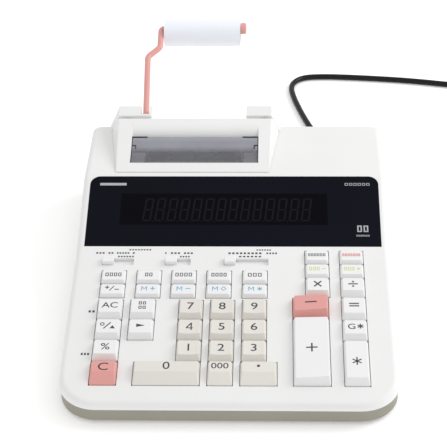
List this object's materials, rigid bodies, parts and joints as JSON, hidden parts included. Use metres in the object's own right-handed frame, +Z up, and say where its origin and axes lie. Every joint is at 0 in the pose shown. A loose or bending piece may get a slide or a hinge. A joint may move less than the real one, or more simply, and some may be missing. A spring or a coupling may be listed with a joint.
{
  "type": "printing desk calculator",
  "caption": "Printing desk calculator: wedge-shaped white case with sprung keys, slide switches, dark sloped display, hinged printer cover, folding arm with a paper roll, and mains lead.",
  "frame": {"origin": "under the middle of the whole object without its lead, on the surface that it stands on", "axes": "+Z up, +X to the operator's right, +Y away from the operator, from the keys towards the paper roll"},
  "size_m": [0.361, 0.4269, 0.0972],
  "materials": {
    "case_white": "fine-textured warm white moulding",
    "case_grey": "fine-textured beige grey moulding",
    "key_white": "smooth satin white",
    "key_beige": "smooth satin beige",
    "key_pink": "smooth satin salmon pink",
    "display_glass": "polished dark acrylic",
    "lcd_module": "liquid crystal cell in a grey frame",
    "circuit_board": "green laminate with soldered parts",
    "silicone": "translucent grey silicone",
    "smoked_plastic": "clear smoked plastic",
    "paper": "smooth white till roll paper",
    "printer_plastic": "black moulded frame",
    "drum_plastic": "dark moulded type bands",
    "roller_rubber": "ground rubber",
    "foot_rubber": "soft rubber",
    "screw_steel": "zinc plated",
    "cord_pvc": "black flexible PVC"
  },
  "bodies": {
    "case": {"upper_case": "case_white", "lower_case": "case_grey", "display_window": "display_glass", "lcd_module": "lcd_module", "circuit_boards": "circuit_board", "keypad_membrane": "silicone", "printer_frame": "printer_plastic", "rubber_feet": "foot_rubber", "case_screws": "screw_steel", "power_cord": "cord_pvc", "cord_coil": "cord_pvc", "cord_fittings": "cord_pvc"},
    "printer_cover": {"printer_cover": "case_white", "paper_cutter": "smoked_plastic"},
    "roll_arm": {"paper_arm": "key_pink"},
    "paper_roll": {"paper_roll": "paper"},
    "print_drum": {"print_drum": "drum_plastic"},
    "feed_roller": {"feed_roller": "roller_rubber"},
    "key_percent": {"key_percent": "key_white"},
    "key_percent_change": {"key_percent_change": "key_white"},
    "key_clear_all": {"key_clear_all": "key_white"},
    "key_right_shift": {"key_right_shift": "key_white"},
    "key_mark_up": {"key_mark_up": "key_white"},
    "key_plus": {"key_plus": "key_white"},
    "key_times": {"key_times": "key_white"},
    "key_tax_minus": {"key_tax_minus": "key_white"},
    "key_change": {"key_change": "key_white"},
    "key_total": {"key_total": "key_white"},
    "key_grand_total": {"key_grand_total": "key_white"},
    "key_equals": {"key_equals": "key_white"},
    "key_divide": {"key_divide": "key_white"},
    "key_tax_plus": {"key_tax_plus": "key_white"},
    "key_reprint": {"key_reprint": "key_white"},
    "key_sign": {"key_sign": "key_white"},
    "key_m_plus": {"key_m_plus": "key_white"},
    "key_m_minus": {"key_m_minus": "key_white"},
    "key_m_subtotal": {"key_m_subtotal": "key_white"},
    "key_m_total": {"key_m_total": "key_white"},
    "key_feed": {"key_feed": "key_white"},
    "key_items": {"key_items": "key_white"},
    "key_cost": {"key_cost": "key_white"},
    "key_sell": {"key_sell": "key_white"},
    "key_margin": {"key_margin": "key_white"},
    "key_0": {"key_0": "key_beige"},
    "key_000": {"key_000": "key_beige"},
    "key_point": {"key_point": "key_beige"},
    "key_1": {"key_1": "key_beige"},
    "key_2": {"key_2": "key_beige"},
    "key_3": {"key_3": "key_beige"},
    "key_4": {"key_4": "key_beige"},
    "key_5": {"key_5": "key_beige"},
    "key_6": {"key_6": "key_beige"},
    "key_7": {"key_7": "key_beige"},
    "key_8": {"key_8": "key_beige"},
    "key_9": {"key_9": "key_beige"},
    "key_clear": {"key_clear": "key_pink"},
    "key_minus": {"key_minus": "key_pink"},
    "print_switch": {"print_switch": "key_white"},
    "rounding_switch": {"rounding_switch": "key_white"},
    "decimal_switch": {"decimal_switch": "key_white"}
  },
  "joints": [
    {"name": "key_percent_press", "type": "slide", "parent": "case", "child": "key_percent", "axis": [0, 0.1488, -0.9889], "range_m": [0, 0.0025], "stiffness_N_per_m": 300, "springref_m": -0.001},
    {"name": "key_percent_change_press", "type": "slide", "parent": "case", "child": "key_percent_change", "axis": [0, 0.1488, -0.9889], "range_m": [0, 0.0025], "stiffness_N_per_m": 300, "springref_m": -0.001},
    {"name": "key_clear_all_press", "type": "slide", "parent": "case", "child": "key_clear_all", "axis": [0, 0.1488, -0.9889], "range_m": [0, 0.0025], "stiffness_N_per_m": 300, "springref_m": -0.001},
    {"name": "key_right_shift_press", "type": "slide", "parent": "case", "child": "key_right_shift", "axis": [0, 0.1488, -0.9889], "range_m": [0, 0.0025], "stiffness_N_per_m": 300, "springref_m": -0.001},
    {"name": "key_mark_up_press", "type": "slide", "parent": "case", "child": "key_mark_up", "axis": [0, 0.1488, -0.9889], "range_m": [0, 0.0025], "stiffness_N_per_m": 300, "springref_m": -0.001},
    {"name": "key_plus_press", "type": "slide", "parent": "case", "child": "key_plus", "axis": [0, 0.1488, -0.9889], "range_m": [0, 0.0025], "stiffness_N_per_m": 300, "springref_m": -0.001},
    {"name": "key_times_press", "type": "slide", "parent": "case", "child": "key_times", "axis": [0, 0.1488, -0.9889], "range_m": [0, 0.0025], "stiffness_N_per_m": 300, "springref_m": -0.001},
    {"name": "key_tax_minus_press", "type": "slide", "parent": "case", "child": "key_tax_minus", "axis": [0, 0.1488, -0.9889], "range_m": [0, 0.0025], "stiffness_N_per_m": 300, "springref_m": -0.001},
    {"name": "key_change_press", "type": "slide", "parent": "case", "child": "key_change", "axis": [0, 0.1488, -0.9889], "range_m": [0, 0.0025], "stiffness_N_per_m": 300, "springref_m": -0.001},
    {"name": "key_total_press", "type": "slide", "parent": "case", "child": "key_total", "axis": [0, 0.1488, -0.9889], "range_m": [0, 0.0025], "stiffness_N_per_m": 300, "springref_m": -0.001},
    {"name": "key_grand_total_press", "type": "slide", "parent": "case", "child": "key_grand_total", "axis": [0, 0.1488, -0.9889], "range_m": [0, 0.0025], "stiffness_N_per_m": 300, "springref_m": -0.001},
    {"name": "key_equals_press", "type": "slide", "parent": "case", "child": "key_equals", "axis": [0, 0.1488, -0.9889], "range_m": [0, 0.0025], "stiffness_N_per_m": 300, "springref_m": -0.001},
    {"name": "key_divide_press", "type": "slide", "parent": "case", "child": "key_divide", "axis": [0, 0.1488, -0.9889], "range_m": [0, 0.0025], "stiffness_N_per_m": 300, "springref_m": -0.001},
    {"name": "key_tax_plus_press", "type": "slide", "parent": "case", "child": "key_tax_plus", "axis": [0, 0.1488, -0.9889], "range_m": [0, 0.0025], "stiffness_N_per_m": 300, "springref_m": -0.001},
    {"name": "key_reprint_press", "type": "slide", "parent": "case", "child": "key_reprint", "axis": [0, 0.1488, -0.9889], "range_m": [0, 0.0025], "stiffness_N_per_m": 300, "springref_m": -0.001},
    {"name": "key_sign_press", "type": "slide", "parent": "case", "child": "key_sign", "axis": [0, 0.1488, -0.9889], "range_m": [0, 0.0025], "stiffness_N_per_m": 300, "springref_m": -0.001},
    {"name": "key_m_plus_press", "type": "slide", "parent": "case", "child": "key_m_plus", "axis": [0, 0.1488, -0.9889], "range_m": [0, 0.0025], "stiffness_N_per_m": 300, "springref_m": -0.001},
    {"name": "key_m_minus_press", "type": "slide", "parent": "case", "child": "key_m_minus", "axis": [0, 0.1488, -0.9889], "range_m": [0, 0.0025], "stiffness_N_per_m": 300, "springref_m": -0.001},
    {"name": "key_m_subtotal_press", "type": "slide", "parent": "case", "child": "key_m_subtotal", "axis": [0, 0.1488, -0.9889], "range_m": [0, 0.0025], "stiffness_N_per_m": 300, "springref_m": -0.001},
    {"name": "key_m_total_press", "type": "slide", "parent": "case", "child": "key_m_total", "axis": [0, 0.1488, -0.9889], "range_m": [0, 0.0025], "stiffness_N_per_m": 300, "springref_m": -0.001},
    {"name": "key_feed_press", "type": "slide", "parent": "case", "child": "key_feed", "axis": [0, 0.1488, -0.9889], "range_m": [0, 0.0025], "stiffness_N_per_m": 300, "springref_m": -0.001},
    {"name": "key_items_press", "type": "slide", "parent": "case", "child": "key_items", "axis": [0, 0.1488, -0.9889], "range_m": [0, 0.0025], "stiffness_N_per_m": 300, "springref_m": -0.001},
    {"name": "key_cost_press", "type": "slide", "parent": "case", "child": "key_cost", "axis": [0, 0.1488, -0.9889], "range_m": [0, 0.0025], "stiffness_N_per_m": 300, "springref_m": -0.001},
    {"name": "key_sell_press", "type": "slide", "parent": "case", "child": "key_sell", "axis": [0, 0.1488, -0.9889], "range_m": [0, 0.0025], "stiffness_N_per_m": 300, "springref_m": -0.001},
    {"name": "key_margin_press", "type": "slide", "parent": "case", "child": "key_margin", "axis": [0, 0.1488, -0.9889], "range_m": [0, 0.0025], "stiffness_N_per_m": 300, "springref_m": -0.001},
    {"name": "key_0_press", "type": "slide", "parent": "case", "child": "key_0", "axis": [0, 0.1488, -0.9889], "range_m": [0, 0.0025], "stiffness_N_per_m": 300, "springref_m": -0.001},
    {"name": "key_000_press", "type": "slide", "parent": "case", "child": "key_000", "axis": [0, 0.1488, -0.9889], "range_m": [0, 0.0025], "stiffness_N_per_m": 300, "springref_m": -0.001},
    {"name": "key_point_press", "type": "slide", "parent": "case", "child": "key_point", "axis": [0, 0.1488, -0.9889], "range_m": [0, 0.0025], "stiffness_N_per_m": 300, "springref_m": -0.001},
    {"name": "key_1_press", "type": "slide", "parent": "case", "child": "key_1", "axis": [0, 0.1488, -0.9889], "range_m": [0, 0.0025], "stiffness_N_per_m": 300, "springref_m": -0.001},
    {"name": "key_2_press", "type": "slide", "parent": "case", "child": "key_2", "axis": [0, 0.1488, -0.9889], "range_m": [0, 0.0025], "stiffness_N_per_m": 300, "springref_m": -0.001},
    {"name": "key_3_press", "type": "slide", "parent": "case", "child": "key_3", "axis": [0, 0.1488, -0.9889], "range_m": [0, 0.0025], "stiffness_N_per_m": 300, "springref_m": -0.001},
    {"name": "key_4_press", "type": "slide", "parent": "case", "child": "key_4", "axis": [0, 0.1488, -0.9889], "range_m": [0, 0.0025], "stiffness_N_per_m": 300, "springref_m": -0.001},
    {"name": "key_5_press", "type": "slide", "parent": "case", "child": "key_5", "axis": [0, 0.1488, -0.9889], "range_m": [0, 0.0025], "stiffness_N_per_m": 300, "springref_m": -0.001},
    {"name": "key_6_press", "type": "slide", "parent": "case", "child": "key_6", "axis": [0, 0.1488, -0.9889], "range_m": [0, 0.0025], "stiffness_N_per_m": 300, "springref_m": -0.001},
    {"name": "key_7_press", "type": "slide", "parent": "case", "child": "key_7", "axis": [0, 0.1488, -0.9889], "range_m": [0, 0.0025], "stiffness_N_per_m": 300, "springref_m": -0.001},
    {"name": "key_8_press", "type": "slide", "parent": "case", "child": "key_8", "axis": [0, 0.1488, -0.9889], "range_m": [0, 0.0025], "stiffness_N_per_m": 300, "springref_m": -0.001},
    {"name": "key_9_press", "type": "slide", "parent": "case", "child": "key_9", "axis": [0, 0.1488, -0.9889], "range_m": [0, 0.0025], "stiffness_N_per_m": 300, "springref_m": -0.001},
    {"name": "key_clear_press", "type": "slide", "parent": "case", "child": "key_clear", "axis": [0, 0.1488, -0.9889], "range_m": [0, 0.0025], "stiffness_N_per_m": 300, "springref_m": -0.001},
    {"name": "key_minus_press", "type": "slide", "parent": "case", "child": "key_minus", "axis": [0, 0.1488, -0.9889], "range_m": [0, 0.0025], "stiffness_N_per_m": 300, "springref_m": -0.001},
    {"name": "print_switch_slide", "type": "slide", "parent": "case", "child": "print_switch", "axis": [1, 0, 0], "range_m": [0, 0.0126]},
    {"name": "rounding_switch_slide", "type": "slide", "parent": "case", "child": "rounding_switch", "axis": [1, 0, 0], "range_m": [0, 0.0087]},
    {"name": "decimal_switch_slide", "type": "slide", "parent": "case", "child": "decimal_switch", "axis": [1, 0, 0], "range_m": [0, 0.021]},
    {"name": "cover_hinge", "type": "hinge", "parent": "case", "child": "printer_cover", "pos_m": [-0.028, 0.0728, 0.06305], "axis": [-1, 0, 0], "range_deg": [0, 80]},
    {"name": "arm_hinge", "type": "hinge", "parent": "case", "child": "roll_arm", "pos_m": [-0.0644, 0.0818, 0.0616], "axis": [1, 0, 0], "range_deg": [0, 80]},
    {"name": "roll_spin", "type": "hinge", "parent": "roll_arm", "child": "paper_roll", "pos_m": [-0.0264, 0.1642, 0.08718], "axis": [1, 0, 0], "continuous": true},
    {"name": "drum_spin", "type": "hinge", "parent": "case", "child": "print_drum", "pos_m": [-0.028, 0.0418, 0.042], "axis": [1, 0, 0], "continuous": true},
    {"name": "roller_spin", "type": "hinge", "parent": "case", "child": "feed_roller", "pos_m": [-0.028, 0.0593, 0.041], "axis": [1, 0, 0], "continuous": true}
  ],
  "couplings": [
    {"joint": "roller_spin", "follows": "drum_spin", "ratio": -1.2727}
  ]
}
